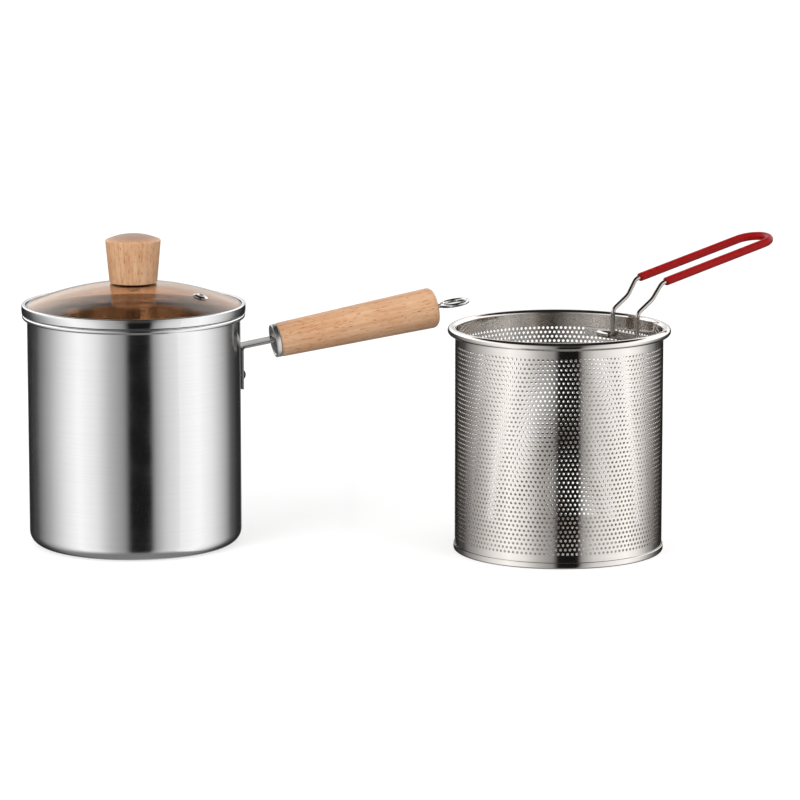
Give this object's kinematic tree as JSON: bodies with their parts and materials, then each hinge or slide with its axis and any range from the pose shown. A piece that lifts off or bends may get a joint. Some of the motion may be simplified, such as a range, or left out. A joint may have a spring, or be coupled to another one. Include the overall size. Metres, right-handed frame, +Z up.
{
  "type": "deep fry pot with basket",
  "caption": "Tall cylindrical steel pot with domed glass lid and wooden handle, beside its perforated fry basket with a folding wire handle.",
  "frame": {"origin": "centre of the pot's base, on the surface it stands on", "axes": "+Z up, +X to the right from the pot towards the basket, +Y away from the viewer; the pot's handle points 14 degrees from +X towards +Y"},
  "size_m": [0.5001, 0.1993, 0.2052],
  "materials": {
    "brushed_stainless": "fine brushed stainless sheet",
    "polished_stainless": "polished stainless",
    "beech_wood": "oiled beech, turned",
    "tinted_glass": "tea-tinted tempered glass",
    "silicone_seal": "translucent silicone",
    "red_dipped_coat": "red dipped coating, satin"
  },
  "bodies": {
    "pot": {"pot_body": "brushed_stainless", "handle_strap": "brushed_stainless", "foot_rivet_front": "polished_stainless", "foot_rivet_back": "polished_stainless", "handle_ferrule": "polished_stainless", "handle_grip": "beech_wood", "tie_nut": "brushed_stainless", "hang_loop": "polished_stainless"},
    "lid": {"lid_rim": "polished_stainless", "lid_glass": "tinted_glass", "vent_eyelet": "polished_stainless", "lid_knob": "beech_wood", "knob_screw": "polished_stainless", "knob_washer": "silicone_seal", "screw_washer": "silicone_seal"},
    "basket": {"basket_wall": "brushed_stainless", "basket_rim": "polished_stainless", "basket_base": "brushed_stainless", "basket_bracket": "polished_stainless"},
    "basket_handle": {"basket_handle_wire": "polished_stainless", "handle_sleeve": "red_dipped_coat"}
  },
  "joints": [
    {"name": "lid_lift", "type": "slide", "parent": "pot", "child": "lid", "axis": [0, 0, 1], "range_m": [0, 0.1]},
    {"name": "basket_lift", "type": "slide", "parent": "pot", "child": "basket", "axis": [0, 0, 1], "range_m": [0, 0.16]},
    {"name": "basket_handle_fold", "type": "hinge", "parent": "basket", "child": "basket_handle", "pos_m": [0.32341, 0.0151, 0.1339], "axis": [0.6428, -0.766, 0], "range_deg": [0, 147]}
  ]
}
